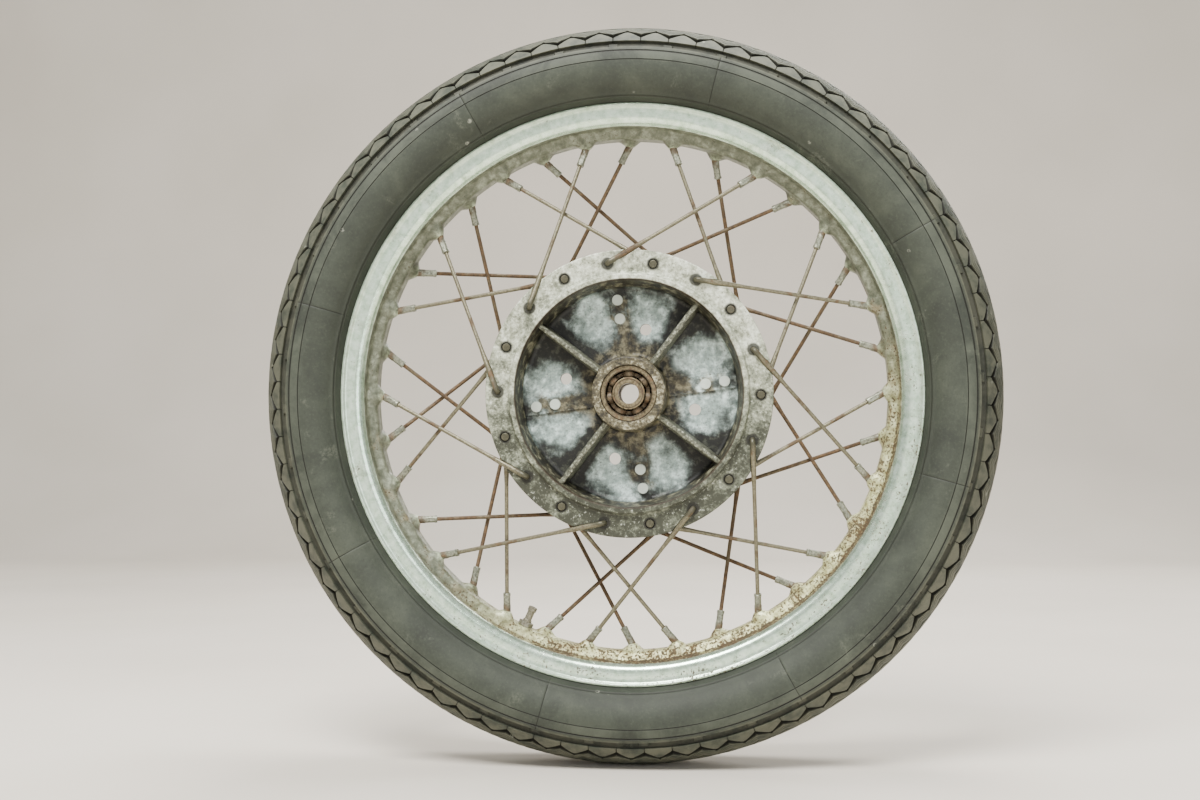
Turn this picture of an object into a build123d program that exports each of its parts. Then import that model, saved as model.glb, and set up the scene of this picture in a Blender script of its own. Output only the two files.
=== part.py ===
from build123d import *
import math
import os

# A laced rear wheel for a motorcycle: hub, bearings, spokes, rim, tube and tyre.
# Millimetres. The origin is the wheel's centre, +Y runs along the axle towards the brake drum, and +Z is up.
# Angles are in degrees from +X, counter-clockwise as seen from the open side of the hub at -Y.

# Tyre and tube, 3.50-18 size
TYRE_R = 311.5
TYRE_HALF_WIDTH = 46.0
TREAD_EDGE = (292.6, 41.0)
CARCASS_CROWN_R = 300.5
TUBE_GAP = 0.6
TUBE_WALL = 2.0

# Rim, 18 inch, pressed steel
RIM_WALL = 2.2
WELL_R = 216.5
RIM_LIP_R = 244.0
RIM_INSIDE_HALF = 23.5
NIPPLE_OFFSET = 4.2
NIPPLE_SEAT_R = 212.5
RIM_TURN = 0.3
DIMPLE_TIP_R = 5.0
DIMPLE_WALL = 1.8
DIMPLE_FLARE = 0.55
DIMPLE_DEPTH = 12.0
NIPPLE_HOLE_R = 3.35
BAND_R = 219.0
BAND_WALL = 1.2
BAND_HALF_WIDTH = 6.8

# Hub casting
FLANGE_R = 119.5
FLANGE_IN = 32.0
FLANGE_OUT = 38.0
BARREL_R = 99.5
LIP_FRONT = -42.5
RECESS_MOUTH_R = 94.5
RECESS_FLOOR_R = 90.0
RECESS_FLOOR = -12.0
WEB_BACK = -2.0
BOSS_R = 30.5
BOSS_FRONT = -42.0
BOSS_BACK = 12.0
HUB_BACK = 45.0
HUB_TURN = -0.7
RIB_ANGLE = 52.7
RIB_TOP = -35.0
RIB_TOP_WIDTH = 4.0
RIB_BASE_WIDTH = 8.0
RIDGE_ANGLE = 7.7
RIDGE_WIDTH = 13.0
RIDGE_HEIGHT = 1.5
PAD_RADII = (64.0, 80.0)
PAD_R = 4.3
PAD_HEIGHT = 3.2
WEB_HOLE_ANGLE = 76.5
WEB_HOLE_PCR = 56.0
WEB_HOLE_R = 5.0

# Brake drum liner
DRUM_R = 90.0
LINER_R = 95.0
LINER_FRONT = 12.5
LINER_BACK = 44.5
SHELL_GAP = 0.05

# Spokes and nipples
FLANGE_SPOKES = 18
SPOKE_PCR = 109.0
SPOKE_SPAN = 40.0
BUTT_R = 2.25
WIRE_R = 1.65
BUTT_LENGTH = 27.0
TAPER_LENGTH = 14.0
BEND_R = 3.2
ELBOW_OUT = 4.2
ELBOW_IN = 3.0
SPOKE_HOLE_R = 2.5
COUNTERBORE_R = 4.15
COUNTERBORE_DEPTH = 2.0
HEAD_R = 3.35
HEAD_HEIGHT = 1.9
RELIEF_R = 2.65
RELIEF_LENGTH = 32.0
NIPPLE_R = 3.15
NIPPLE_HEAD_R = 4.2
NIPPLE_LENGTH = 16.5
NIPPLE_FLAT = 5.6
NIPPLE_BORE_R = 1.7

# Bearings, 17 x 47 x 14, seven balls
BEARING_BORE_R = 8.5
BEARING_R = 23.5
BEARING_WIDTH = 14.0
BEARING_GAP = 0.01
INNER_SHOULDER_R = 13.4
OUTER_SHOULDER_R = 19.0
BALL_PITCH_R = 16.2
BALL_R = 4.365
BALLS = 7
GROOVE_R = 4.42
CAGE_IN_R = 14.7
CAGE_OUT_R = 17.7
CAGE_STRIP = 0.9
CAGE_SHELL_R = 5.2
CAGE_POCKET_R = 4.45
FRONT_BEARING = -33.0
REAR_BEARING = 0.0
SPACER_BORE_R = 8.8
SPACER_R = 12.0
SPACER_WELL_R = 19.0
RETAINER = (7.3, 11.0)
RETAINER_BORE_R = 18.0
SEAL = (7.7, 10.6)
SEAL_BORE_R = 12.0

# Valve
VALVE_ANGLE = 245.3
VALVE_TIP = 199.0
VALVE_BASE = 224.6
VALVE_THREAD_R = 3.75
VALVE_NECK_R = 3.05
VALVE_BORE_R = 2.2
VALVE_BORE_END = 213.5
VALVE_HOLE_R = 4.2
FOOT_FLANGE_R = 5.4
NUT = (212.6, 216.2)
NUT_ACROSS_FLATS = 11.0
NUT_SEAT_R = 7.0
CORE = (202.0, 209.5)
CORE_BORE_R = 0.75
PIN_R = 0.68

PARTS = "parts"


def outline(*points):
    """A closed face in the XY plane from (radius, y) or (radius, y, corner radius) points."""
    face = make_face(Polyline(*[(p[0], p[1]) for p in points], close=True))
    for point in points:
        if len(point) == 3:
            corner = face.vertices().sort_by_distance((point[0], point[1], 0))[0]
            face = fillet(corner, point[2])
    return face


def turned(*points):
    """A solid of revolution about the axle."""
    return revolve(outline(*points), Axis.Y)


def tube_ring(inner, outer, low, high):
    """A plain ring about the axle between two radii and two stations along it."""
    return turned((inner, low), (outer, low), (outer, high), (inner, high))


def polar(radius, angle, y=0.0):
    """The point at a radius and an angle about the axle."""
    a = math.radians(angle)
    return Vector(radius * math.cos(a), y, radius * math.sin(a))


def along(point, toward):
    """A plane at a point whose normal is the given direction."""
    return Plane(origin=point, z_dir=toward)


def rod(plane, radius, low, high):
    """A cylinder about a plane's normal between two heights."""
    cylinder = Cylinder(radius, high - low, align=(Align.CENTER, Align.CENTER, Align.MIN))
    return plane * Pos(0, 0, low) * cylinder


def flare(plane, low_r, high_r, low, high):
    """A cone frustum about a plane's normal between two heights."""
    cone = Cone(low_r, high_r, high - low, align=(Align.CENTER, Align.CENTER, Align.MIN))
    return plane * Pos(0, 0, low) * cone


def spun(plane, *points):
    """A solid of revolution about a plane's normal from (radius, height) points."""
    face = make_face(Polyline(*[(p[0], 0, p[1]) for p in points], close=True))
    return plane * revolve(face, Axis.Z)


# ---------------------------------------------------------------- spoke layout


class Spoke:
    """One spoke's place. side is -1 at the open side and +1 at the drum. An outer spoke bends outside its flange."""

    def __init__(self, side, outer, number):
        turn = {(-1, False): 0, (-1, True): 20, (1, False): 10, (1, True): 30}[side, outer]
        lean = 1 if (side < 0) != outer else -1
        hole = turn + 2 * number * 360 / FLANGE_SPOKES
        self.side = side
        self.outer = outer
        self.head_face = side * (FLANGE_IN if outer else FLANGE_OUT)
        into = side if outer else -side
        self.seat = polar(SPOKE_PCR, hole + HUB_TURN, self.head_face + into * COUNTERBORE_DEPTH)
        corner_y = side * (FLANGE_OUT + ELBOW_OUT if outer else FLANGE_IN - ELBOW_IN)
        self.corner = polar(SPOKE_PCR, hole + HUB_TURN, corner_y)
        self.nipple = polar(NIPPLE_SEAT_R, hole + lean * SPOKE_SPAN + RIM_TURN, side * NIPPLE_OFFSET)
        self.run = (self.nipple - self.corner).normalized()
        self.bore = (self.corner - self.seat).normalized()


def family(side, outer):
    """The nine spokes that share a flange and a side of it."""
    return [Spoke(side, outer, number) for number in range(FLANGE_SPOKES // 2)]


FAMILIES = {
    "front_outer": family(-1, True),
    "front_inner": family(-1, False),
    "rear_inner": family(1, False),
    "rear_outer": family(1, True),
}
SPOKES = [spoke for spokes in FAMILIES.values() for spoke in spokes]
VALVE = along(Vector(), polar(1, VALVE_ANGLE))


def make_spoke(spoke):
    """A butted wire spoke: flat head, elbow, thick butt, taper and thin shank that ends inside its nipple."""
    butt_end = spoke.corner + spoke.run * BUTT_LENGTH
    path = FilletPolyline(spoke.seat, spoke.corner, butt_end, radius=BEND_R)
    wire = sweep(along(spoke.seat, spoke.bore) * Circle(BUTT_R), path=path)
    shank = along(butt_end, spoke.run)
    end = (spoke.nipple - butt_end).length + DIMPLE_WALL
    wire += flare(shank, BUTT_R, WIRE_R, 0, TAPER_LENGTH)
    wire += rod(shank, WIRE_R, TAPER_LENGTH, end)
    head = rod(along(spoke.seat, -spoke.bore), HEAD_R, 0, HEAD_HEIGHT)
    rim_edge = head.edges().filter_by(GeomType.CIRCLE).sort_by_distance(spoke.corner)[-1]
    return wire + fillet(rim_edge, 0.7)


def make_nipple(spoke):
    """A nipple about its spoke's line: slotted head in the rim's dimple, barrel, wrench flats and end collar."""
    plane = along(spoke.nipple, spoke.run)
    seat = DIMPLE_WALL + 0.05
    top = seat + 2.7
    nipple = spun(
        plane,
        (NIPPLE_BORE_R, -NIPPLE_LENGTH),
        (NIPPLE_R - 0.3, -NIPPLE_LENGTH),
        (NIPPLE_R, -NIPPLE_LENGTH + 0.3),
        (NIPPLE_R, seat),
        (NIPPLE_HEAD_R, seat + 1.1),
        (NIPPLE_HEAD_R, top - 0.5),
        (NIPPLE_HEAD_R - 0.7, top),
        (NIPPLE_BORE_R, top),
    )
    flats = Box(20, 20, 8.0) - Box(NIPPLE_FLAT, NIPPLE_FLAT, 8.0)
    slot = Pos(0, 0, top) * Box(1.0, 20, 1.6)
    return nipple - plane * (Pos(0, 0, -NIPPLE_LENGTH + 6.2) * flats) - plane * slot


# ---------------------------------------------------------------- rim, tube and tyre


def mirrored(half):
    """A symmetric outline's points from the half of it at y > 0, which starts and ends near the centre plane."""
    return half + [(p[0], -p[1], *p[2:]) for p in reversed(half)]


def rim_ring():
    """The rolled rim section: drop well, bead ledges, side flanges and curled lips."""
    side_out = RIM_INSIDE_HALF + RIM_WALL
    hub_side = [
        (WELL_R, 8.2, 3.0),
        (WELL_R + 8.1, 12.4, 2.0),
        (WELL_R + 9.2, side_out, 2.6),
        (240.6, side_out, 3.0),
        (242.2, side_out + 2.2, 1.0),
        (RIM_LIP_R, RIM_INSIDE_HALF + 3.1, 0.9),
    ]
    tyre_side = [
        (241.6, RIM_INSIDE_HALF, 1.2),
        (228.1, RIM_INSIDE_HALF, 2.0),
        (227.0, 11.9, 1.6),
        (WELL_R + RIM_WALL, 7.6, 1.2),
    ]
    front = hub_side + tyre_side
    back = [(p[0], -p[1], *p[2:]) for p in reversed(front)]
    return turned(*front, *back)


def rim_underside():
    """The space inside the middle of the rim's sheet, which keeps the dimples on the hub's side of it."""
    middle = [(200.0, 20.0), (226.3, 20.0), (225.7, 12.2), (WELL_R + RIM_WALL / 2, 7.9)]
    return turned(*mirrored(middle)[::-1])


def make_rim():
    """The rim with a dimple and an angled nipple hole for each spoke, and the valve hole."""
    dimples, hollows = [], []
    for spoke in SPOKES:
        plane = along(spoke.nipple, spoke.run)
        tip_r = DIMPLE_TIP_R + DIMPLE_FLARE * DIMPLE_DEPTH
        dimples.append(flare(plane, DIMPLE_TIP_R, tip_r, 0, DIMPLE_DEPTH))
        floor_r = DIMPLE_TIP_R - 0.4
        wide_r = floor_r + 0.5 * (DIMPLE_DEPTH - DIMPLE_WALL)
        hollows.append(flare(plane, floor_r, wide_r, DIMPLE_WALL, DIMPLE_DEPTH))
        hollows.append(rod(plane, NIPPLE_HOLE_R, -3, DIMPLE_DEPTH))
    underside = rim_underside()
    rim = rim_ring() + [dimple & underside for dimple in dimples]
    valve_hole = rod(VALVE, VALVE_HOLE_R, WELL_R - 10, WELL_R + 8)
    nut_seat = rod(VALVE, NUT_SEAT_R, WELL_R - 10, NUT[1] + SHELL_GAP)
    return rim - hollows - valve_hole - nut_seat


def make_rim_band():
    """The rubber band that covers the nipples' heads."""
    band = tube_ring(BAND_R, BAND_R + BAND_WALL, -BAND_HALF_WIDTH, BAND_HALF_WIDTH)
    return band - rod(VALVE, VALVE_HOLE_R, BAND_R - 5, BAND_R + 5)


def casing_face():
    """The section of the air space between the tyre's walls and the rim's well."""
    foot = [(220.4, 7.9), (227.5, 12.2), (236.0, 14.8), (247.0, 22.8)]
    shoulder = (286.5, 35.4)
    wall = (272.0, 39.5)
    flip = [(p[0], -p[1]) for p in reversed(foot)]
    edges = [
        Polyline(*foot),
        ThreePointArc(foot[-1], wall, shoulder),
        ThreePointArc(shoulder, (CARCASS_CROWN_R, 0), (shoulder[0], -shoulder[1])),
        ThreePointArc((shoulder[0], -shoulder[1]), (wall[0], -wall[1]), flip[0]),
        Polyline(*flip),
        Line(flip[-1], foot[0]),
    ]
    return make_face(Curve() + edges)


def make_tyre():
    """The tyre: beads against the rim's flanges, round sidewalls, a groove under each shoulder, a round tread."""
    bead = [(227.2, 12.2), (228.15, 22.2), (230.6, 23.3), (241.9, 23.3), (244.7, 26.9), (247.0, 31.0)]
    bulge = (273.8, TYRE_HALF_WIDTH)
    groove = [(288.6, 42.3), (289.0, 39.7), (291.6, 38.9), TREAD_EDGE]
    flip = [(p[0], -p[1]) for p in reversed(bead)]
    flip_groove = [(p[0], -p[1]) for p in reversed(groove)]
    edges = [
        Polyline(*bead),
        ThreePointArc(bead[-1], bulge, groove[0]),
        Polyline(*groove),
        ThreePointArc(TREAD_EDGE, (TYRE_R, 0), flip_groove[0]),
        Polyline(*flip_groove),
        ThreePointArc(flip_groove[-1], (bulge[0], -bulge[1]), flip[0]),
        Polyline(*flip),
        Line(flip[-1], bead[0]),
    ]
    return revolve(make_face(Curve() + edges), Axis.Y) - revolve(casing_face(), Axis.Y)


def make_inner_tube():
    """The inflated tube, a closed rubber ring with a hole for its valve."""
    skin = revolve(offset(casing_face(), -TUBE_GAP), Axis.Y)
    air = revolve(offset(casing_face(), -TUBE_GAP - TUBE_WALL), Axis.Y)
    hole = rod(VALVE, VALVE_THREAD_R + 0.1, BAND_R, BAND_R + 10)
    return skin - air - hole


# ---------------------------------------------------------------- hub


def hub_casting():
    """The turned body of the hub: boss, recess, lip, two spoke flanges, barrel, drum, web and bearing seats."""
    front = REAR_BEARING - BEARING_WIDTH / 2
    step = FRONT_BEARING + BEARING_WIDTH / 2
    return turned(
        (BEARING_R, BOSS_FRONT, 0.6),
        (BOSS_R, BOSS_FRONT, 1.2),
        (BOSS_R + 1.8, RECESS_FLOOR, 3.5),
        (RECESS_FLOOR_R, RECESS_FLOOR, 4.0),
        (RECESS_MOUTH_R, LIP_FRONT, 0.8),
        (BARREL_R, LIP_FRONT, 1.6),
        (BARREL_R + 0.6, -FLANGE_OUT, 1.5),
        (FLANGE_R, -FLANGE_OUT, 1.0),
        (FLANGE_R, -FLANGE_IN, 1.0),
        (BARREL_R, -FLANGE_IN, 3.0),
        (BARREL_R, FLANGE_IN, 3.0),
        (FLANGE_R, FLANGE_IN, 1.0),
        (FLANGE_R, FLANGE_OUT, 1.0),
        (BARREL_R + 0.6, FLANGE_OUT, 1.5),
        (BARREL_R, HUB_BACK, 1.2),
        (LINER_R, HUB_BACK),
        (LINER_R, LINER_FRONT),
        (DRUM_R - 2, LINER_FRONT),
        (DRUM_R - 4, WEB_BACK, 5.0),
        (BOSS_R + 4, WEB_BACK, 4.0),
        (BOSS_R + 2, BOSS_BACK, 1.2),
        (BEARING_R, BOSS_BACK, 0.6),
        (BEARING_R, front),
        (SPACER_WELL_R, front),
        (SPACER_WELL_R, step),
        (BEARING_R, step),
    )


def recess_rib(angle):
    """A drafted radial rib that divides the recess, from the boss to the wall."""
    half_top, half_base = RIB_TOP_WIDTH / 2, RIB_BASE_WIDTH / 2
    face = Plane.YZ.offset(BOSS_R - 2) * outline(
        (-half_base, RECESS_FLOOR + 2),
        (half_base, RECESS_FLOOR + 2),
        (half_top, RIB_TOP, 1.4),
        (-half_top, RIB_TOP, 1.4),
    )
    upright = extrude(face, RECESS_MOUTH_R + 2.5 - BOSS_R + 2)
    return Rot(0, -angle, 0) * Rot(-90, 0, 0) * upright


def recess_ridge(angle):
    """A low radial ridge with two round pads, halfway between two ribs."""
    length = RECESS_FLOOR_R - BOSS_R
    middle = BOSS_R + length / 2
    ridge = Pos(middle, RECESS_FLOOR - RIDGE_HEIGHT / 2 + 0.5, 0) * Box(length, RIDGE_HEIGHT + 1, RIDGE_WIDTH)
    for radius in PAD_RADII:
        plane = Plane(origin=(radius, RECESS_FLOOR, 0), z_dir=(0, -1, 0))
        ridge += rod(plane, PAD_R, -1, PAD_HEIGHT)
    return Rot(0, -angle, 0) * ridge


def spoke_hole(spoke):
    """A spoke's hole through its flange, with the counterbore for its head."""
    plane = along(spoke.seat, spoke.bore)
    return [
        rod(plane, SPOKE_HOLE_R, -COUNTERBORE_DEPTH, FLANGE_OUT - FLANGE_IN),
        rod(plane, COUNTERBORE_R, -COUNTERBORE_DEPTH - 0.5, 0),
    ]


def spoke_relief(spoke):
    """The slot in a flange's edge that an outer spoke's butt lies in."""
    plane = Plane(origin=spoke.corner, x_dir=spoke.run.cross(Vector(0, 1, 0)), z_dir=spoke.run)
    toward = 1 if plane.y_dir.Y * spoke.side > 0 else -1
    slot = Circle(RELIEF_R) + Pos(0, toward * 5) * Rectangle(2 * RELIEF_R, 10)
    return extrude(plane * slot, RELIEF_LENGTH)


def make_hub_shell():
    """The hub casting with its ribs, ridges, web holes and spoke holes."""
    hub = hub_casting()
    for quadrant in range(4):
        hub += recess_rib(RIB_ANGLE + 90 * quadrant)
        hub += recess_ridge(RIDGE_ANGLE + 90 * quadrant)
    cuts = []
    for quadrant in range(4):
        centre = polar(WEB_HOLE_PCR, WEB_HOLE_ANGLE + 90 * quadrant, RECESS_FLOOR - 5)
        cuts.append(rod(along(centre, Vector(0, 1, 0)), WEB_HOLE_R, 0, 20))
    for spoke in SPOKES:
        cuts += spoke_hole(spoke)
        if spoke.outer:
            cuts.append(spoke_relief(spoke))
    return hub - cuts


def make_brake_liner():
    """The cast-iron drum ring."""
    outer = LINER_R - SHELL_GAP
    return turned(
        (DRUM_R, LINER_FRONT),
        (outer, LINER_FRONT),
        (outer, LINER_BACK),
        (DRUM_R + 1.0, LINER_BACK),
        (DRUM_R, LINER_BACK - 1.0),
    )


# ---------------------------------------------------------------- bearings


def race(inner, outer, middle):
    """One ring of a ball bearing with its ball groove."""
    half = BEARING_WIDTH / 2
    ring = turned(
        (inner, middle - half, 0.6),
        (outer, middle - half, 0.6),
        (outer, middle + half, 0.6),
        (inner, middle + half, 0.6),
    )
    groove = revolve(Pos(BALL_PITCH_R, middle) * Circle(GROOVE_R), Axis.Y)
    return ring - groove


def ball_centres(middle):
    """The centres of a bearing's balls."""
    return [polar(BALL_PITCH_R, 90 + i * 360 / BALLS, middle) for i in range(BALLS)]


def make_balls(middle):
    """The loose balls of one bearing."""
    return Compound([Pos(*centre) * Sphere(BALL_R) for centre in ball_centres(middle)])


def make_cage(middle):
    """The pressed ribbon that spaces the balls, flat between them and cupped round each one."""
    hub = Vector(0, middle, 0)
    planes = [along(hub, centre - hub) for centre in ball_centres(middle)]
    strip = tube_ring(CAGE_IN_R - 1, CAGE_OUT_R + 1, middle - CAGE_STRIP, middle + CAGE_STRIP)
    cups = [rod(plane, CAGE_SHELL_R, CAGE_IN_R - 3, CAGE_OUT_R + 3) for plane in planes]
    pockets = [rod(plane, CAGE_POCKET_R, CAGE_IN_R - 4, CAGE_OUT_R + 4) for plane in planes]
    band = tube_ring(CAGE_IN_R, CAGE_OUT_R, middle - CAGE_SHELL_R - 1, middle + CAGE_SHELL_R + 1)
    return ((strip + cups) & band) - pockets


def bearing(name, middle):
    """The four nodes of one bearing."""
    return {
        f"{name}_outer_race": race(OUTER_SHOULDER_R, BEARING_R - BEARING_GAP, middle),
        f"{name}_inner_race": race(BEARING_BORE_R, INNER_SHOULDER_R, middle),
        f"{name}_cage": make_cage(middle),
        f"{name}_balls": make_balls(middle),
    }


def make_retainer():
    """The threaded ring that holds the rear bearing, with four wrench holes."""
    ring = tube_ring(RETAINER_BORE_R, BEARING_R - SHELL_GAP, *RETAINER)
    middle = (RETAINER_BORE_R + BEARING_R) / 2
    for quadrant in range(4):
        centre = polar(middle, 45 + 90 * quadrant, RETAINER[1])
        ring -= rod(along(centre, Vector(0, -1, 0)), 1.3, -1, 2.5)
    return ring


def make_dust_seal():
    """The rubber seal inside the retainer, with a thin lip towards the axle."""
    outer = RETAINER_BORE_R - SHELL_GAP
    low, high = SEAL
    return turned(
        (SEAL_BORE_R, low),
        (outer, low),
        (outer, high),
        (outer - 1.5, high),
        (outer - 2.2, low + 1.2),
        (SEAL_BORE_R, low + 0.9),
    )


# ---------------------------------------------------------------- valve


def make_valve_stem():
    """The brass stem: threaded tip, plain neck, threaded foot and the flange inside the tube."""
    foot_flange = VALVE_BASE - 1.2
    return spun(
        VALVE,
        (VALVE_BORE_R, VALVE_TIP),
        (VALVE_THREAD_R - 0.4, VALVE_TIP),
        (VALVE_THREAD_R, VALVE_TIP + 0.4),
        (VALVE_THREAD_R, VALVE_TIP + 3.6),
        (VALVE_NECK_R, VALVE_TIP + 4.4),
        (VALVE_NECK_R, NUT[0] - 2.4),
        (VALVE_THREAD_R, NUT[0] - 1.6),
        (VALVE_THREAD_R, foot_flange),
        (FOOT_FLANGE_R, foot_flange),
        (FOOT_FLANGE_R, VALVE_BASE),
        (1.4, VALVE_BASE),
        (1.4, VALVE_BORE_END),
        (VALVE_BORE_R, VALVE_BORE_END),
    )


def make_valve_nut():
    """The hexagon nut against the rim."""
    hexagon = RegularPolygon(NUT_ACROSS_FLATS / 2, 6, major_radius=False)
    blank = VALVE * extrude(Pos(0, 0, NUT[0]) * hexagon, NUT[1] - NUT[0])
    return blank - rod(VALVE, VALVE_THREAD_R + SHELL_GAP, NUT[0] - 1, NUT[1] + 1)


def make_valve_core():
    """The core's barrel, bored for its pin."""
    return rod(VALVE, VALVE_BORE_R - SHELL_GAP, *CORE) - rod(VALVE, CORE_BORE_R, CORE[0] - 1, CORE[1] + 1)


def make_valve_pin():
    """The core's pin, with its button at the tip and its sealing cup behind the barrel."""
    button = VALVE_TIP + 0.6
    cup = CORE[1] + 0.4
    pin = rod(VALVE, PIN_R, button, cup)
    return pin + rod(VALVE, 1.2, button, button + 0.7) + rod(VALVE, 1.7, cup, cup + 1.0)


# ---------------------------------------------------------------- all nodes


def all_parts():
    """Every node by name."""
    parts = {
        "tyre": make_tyre(),
        "inner_tube": make_inner_tube(),
        "rim_band": make_rim_band(),
        "rim": make_rim(),
        "hub_shell": make_hub_shell(),
        "brake_liner": make_brake_liner(),
        "bearing_spacer": tube_ring(
            SPACER_BORE_R, SPACER_R, FRONT_BEARING + BEARING_WIDTH / 2, REAR_BEARING - BEARING_WIDTH / 2
        ),
        "bearing_retainer": make_retainer(),
        "dust_seal": make_dust_seal(),
        "valve_stem": make_valve_stem(),
        "valve_nut": make_valve_nut(),
        "valve_core": make_valve_core(),
        "valve_pin": make_valve_pin(),
    }
    parts.update(bearing("front_bearing", FRONT_BEARING))
    parts.update(bearing("rear_bearing", REAR_BEARING))
    for name, spokes in FAMILIES.items():
        for number, spoke in enumerate(spokes, 1):
            parts[f"spoke_{name}_{number}"] = make_spoke(spoke)
    parts["front_nipples"] = Compound([make_nipple(s) for s in SPOKES if s.side < 0])
    parts["rear_nipples"] = Compound([make_nipple(s) for s in SPOKES if s.side > 0])
    return parts


os.makedirs(PARTS, exist_ok=True)
for node, shape in all_parts().items():
    export_step(shape, os.path.join(PARTS, f"{node}.step"))
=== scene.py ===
import math

import bpy
import numpy as np
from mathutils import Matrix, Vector


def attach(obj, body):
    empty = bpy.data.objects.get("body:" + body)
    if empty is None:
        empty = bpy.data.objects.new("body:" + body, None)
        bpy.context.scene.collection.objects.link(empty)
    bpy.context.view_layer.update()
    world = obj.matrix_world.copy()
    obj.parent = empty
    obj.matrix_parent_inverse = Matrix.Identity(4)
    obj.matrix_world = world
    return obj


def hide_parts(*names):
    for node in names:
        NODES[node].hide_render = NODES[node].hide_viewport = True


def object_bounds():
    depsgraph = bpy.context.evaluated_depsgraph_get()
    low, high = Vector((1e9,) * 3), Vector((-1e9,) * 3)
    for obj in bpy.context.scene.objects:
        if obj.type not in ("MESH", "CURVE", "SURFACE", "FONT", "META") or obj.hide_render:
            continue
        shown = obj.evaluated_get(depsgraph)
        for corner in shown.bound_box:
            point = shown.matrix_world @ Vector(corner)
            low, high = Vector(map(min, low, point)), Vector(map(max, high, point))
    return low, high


# A laced motorcycle wheel. Metres in the scene, millimetres and degrees in the tables below.
# Radii are about the axle (Y), angles run from +X towards +Z, and the open side of the hub faces -Y.

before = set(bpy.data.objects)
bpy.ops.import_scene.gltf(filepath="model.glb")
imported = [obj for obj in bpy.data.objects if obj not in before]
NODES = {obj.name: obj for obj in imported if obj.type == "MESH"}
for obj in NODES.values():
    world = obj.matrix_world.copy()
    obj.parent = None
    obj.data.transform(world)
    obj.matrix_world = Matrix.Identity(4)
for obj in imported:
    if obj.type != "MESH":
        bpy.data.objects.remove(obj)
CAD_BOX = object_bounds()
MM = 0.001

# ---------------------------------------------------------------- stage

FLOOR_Z = CAD_BOX[0].z
SENSOR = 36.0
PHOTO_WIDTH = 1200
FOCAL_PX = 1649.0
CAMERA_AZIMUTH, CAMERA_ELEVATION, CAMERA_DISTANCE = 3.0, -1.5, 1.402
WHEEL_CENTRE_PX = (31.0, 5.5)  # right of and above the middle of the photograph
FLOOR_FRONT, FLOOR_BACK, FLOOR_HALF_WIDTH = -5.0, 2.3, 8.0
SWEEP_R, SWEEP_FIRST, SWEEP_STEPS, WALL_TOP = 0.9, 0.1, 14, 5.0
PART_CREASE, FLOOR_CREASE = 40.0, 80.0
WORLD_COLOUR, WORLD_STRENGTH = (0.95, 0.97, 1.0, 1.0), 0.36
# Name, place, width and height, watts and colour. Every light aims at the wheel's centre.
LIGHTS = (
    ("key", (-0.5, -1.5, 2.2), (1.3, 1.0), 168, (1.0, 0.985, 0.96)),
    ("top", (0.3, 0.5, 2.3), (1.5, 1.0), 74, (1.0, 0.98, 0.95)),
    ("fill", (1.3, -2.4, 0.5), (1.4, 1.4), 22, (0.96, 0.99, 1.0)),
    ("back", (0.9, 2.1, 1.3), (1.2, 1.2), 34, (1.0, 0.98, 0.96)),
)


def set_camera():
    """The photograph's view: nearly square on, a little low and to the right."""
    a, e = math.radians(CAMERA_AZIMUTH), math.radians(CAMERA_ELEVATION)
    back = Vector((math.sin(a) * math.cos(e), -math.cos(a) * math.cos(e), math.sin(e)))
    right = Vector((math.cos(a), math.sin(a), 0))
    up = back.cross(right)
    aim = -back - right * (WHEEL_CENTRE_PX[0] / FOCAL_PX) - up * (WHEEL_CENTRE_PX[1] / FOCAL_PX)
    data = bpy.data.cameras.new("camera")
    data.sensor_width = SENSOR
    data.lens = FOCAL_PX / PHOTO_WIDTH * SENSOR
    camera = bpy.data.objects.new("camera", data)
    camera.location = back * CAMERA_DISTANCE
    camera.rotation_mode = "QUATERNION"
    camera.rotation_quaternion = aim.to_track_quat("-Z", "Y")
    bpy.context.scene.collection.objects.link(camera)
    bpy.context.scene.camera = camera


def area_light(name, place, size, power, colour):
    """A soft rectangular light."""
    data = bpy.data.lights.new(name, "AREA")
    data.shape = "RECTANGLE"
    data.size, data.size_y = size
    data.energy = power
    data.color = colour
    light = bpy.data.objects.new(name, data)
    light.location = place
    light.visible_camera = False
    light.rotation_mode = "QUATERNION"
    light.rotation_quaternion = (-Vector(place)).to_track_quat("-Z", "Y")
    bpy.context.scene.collection.objects.link(light)


def new_mesh(name, points, faces, crease=PART_CREASE):
    """A mesh object from points in metres, smooth except at edges sharper than crease degrees."""
    mesh = bpy.data.meshes.new(name)
    mesh.from_pydata([tuple(p) for p in points], [], [tuple(f) for f in faces])
    mesh.polygons.foreach_set("use_smooth", [True] * len(mesh.polygons))
    mesh.set_sharp_from_angle(angle=math.radians(crease))
    mesh.update()
    made = bpy.data.objects.new(name, mesh)
    bpy.context.scene.collection.objects.link(made)
    return made


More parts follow.
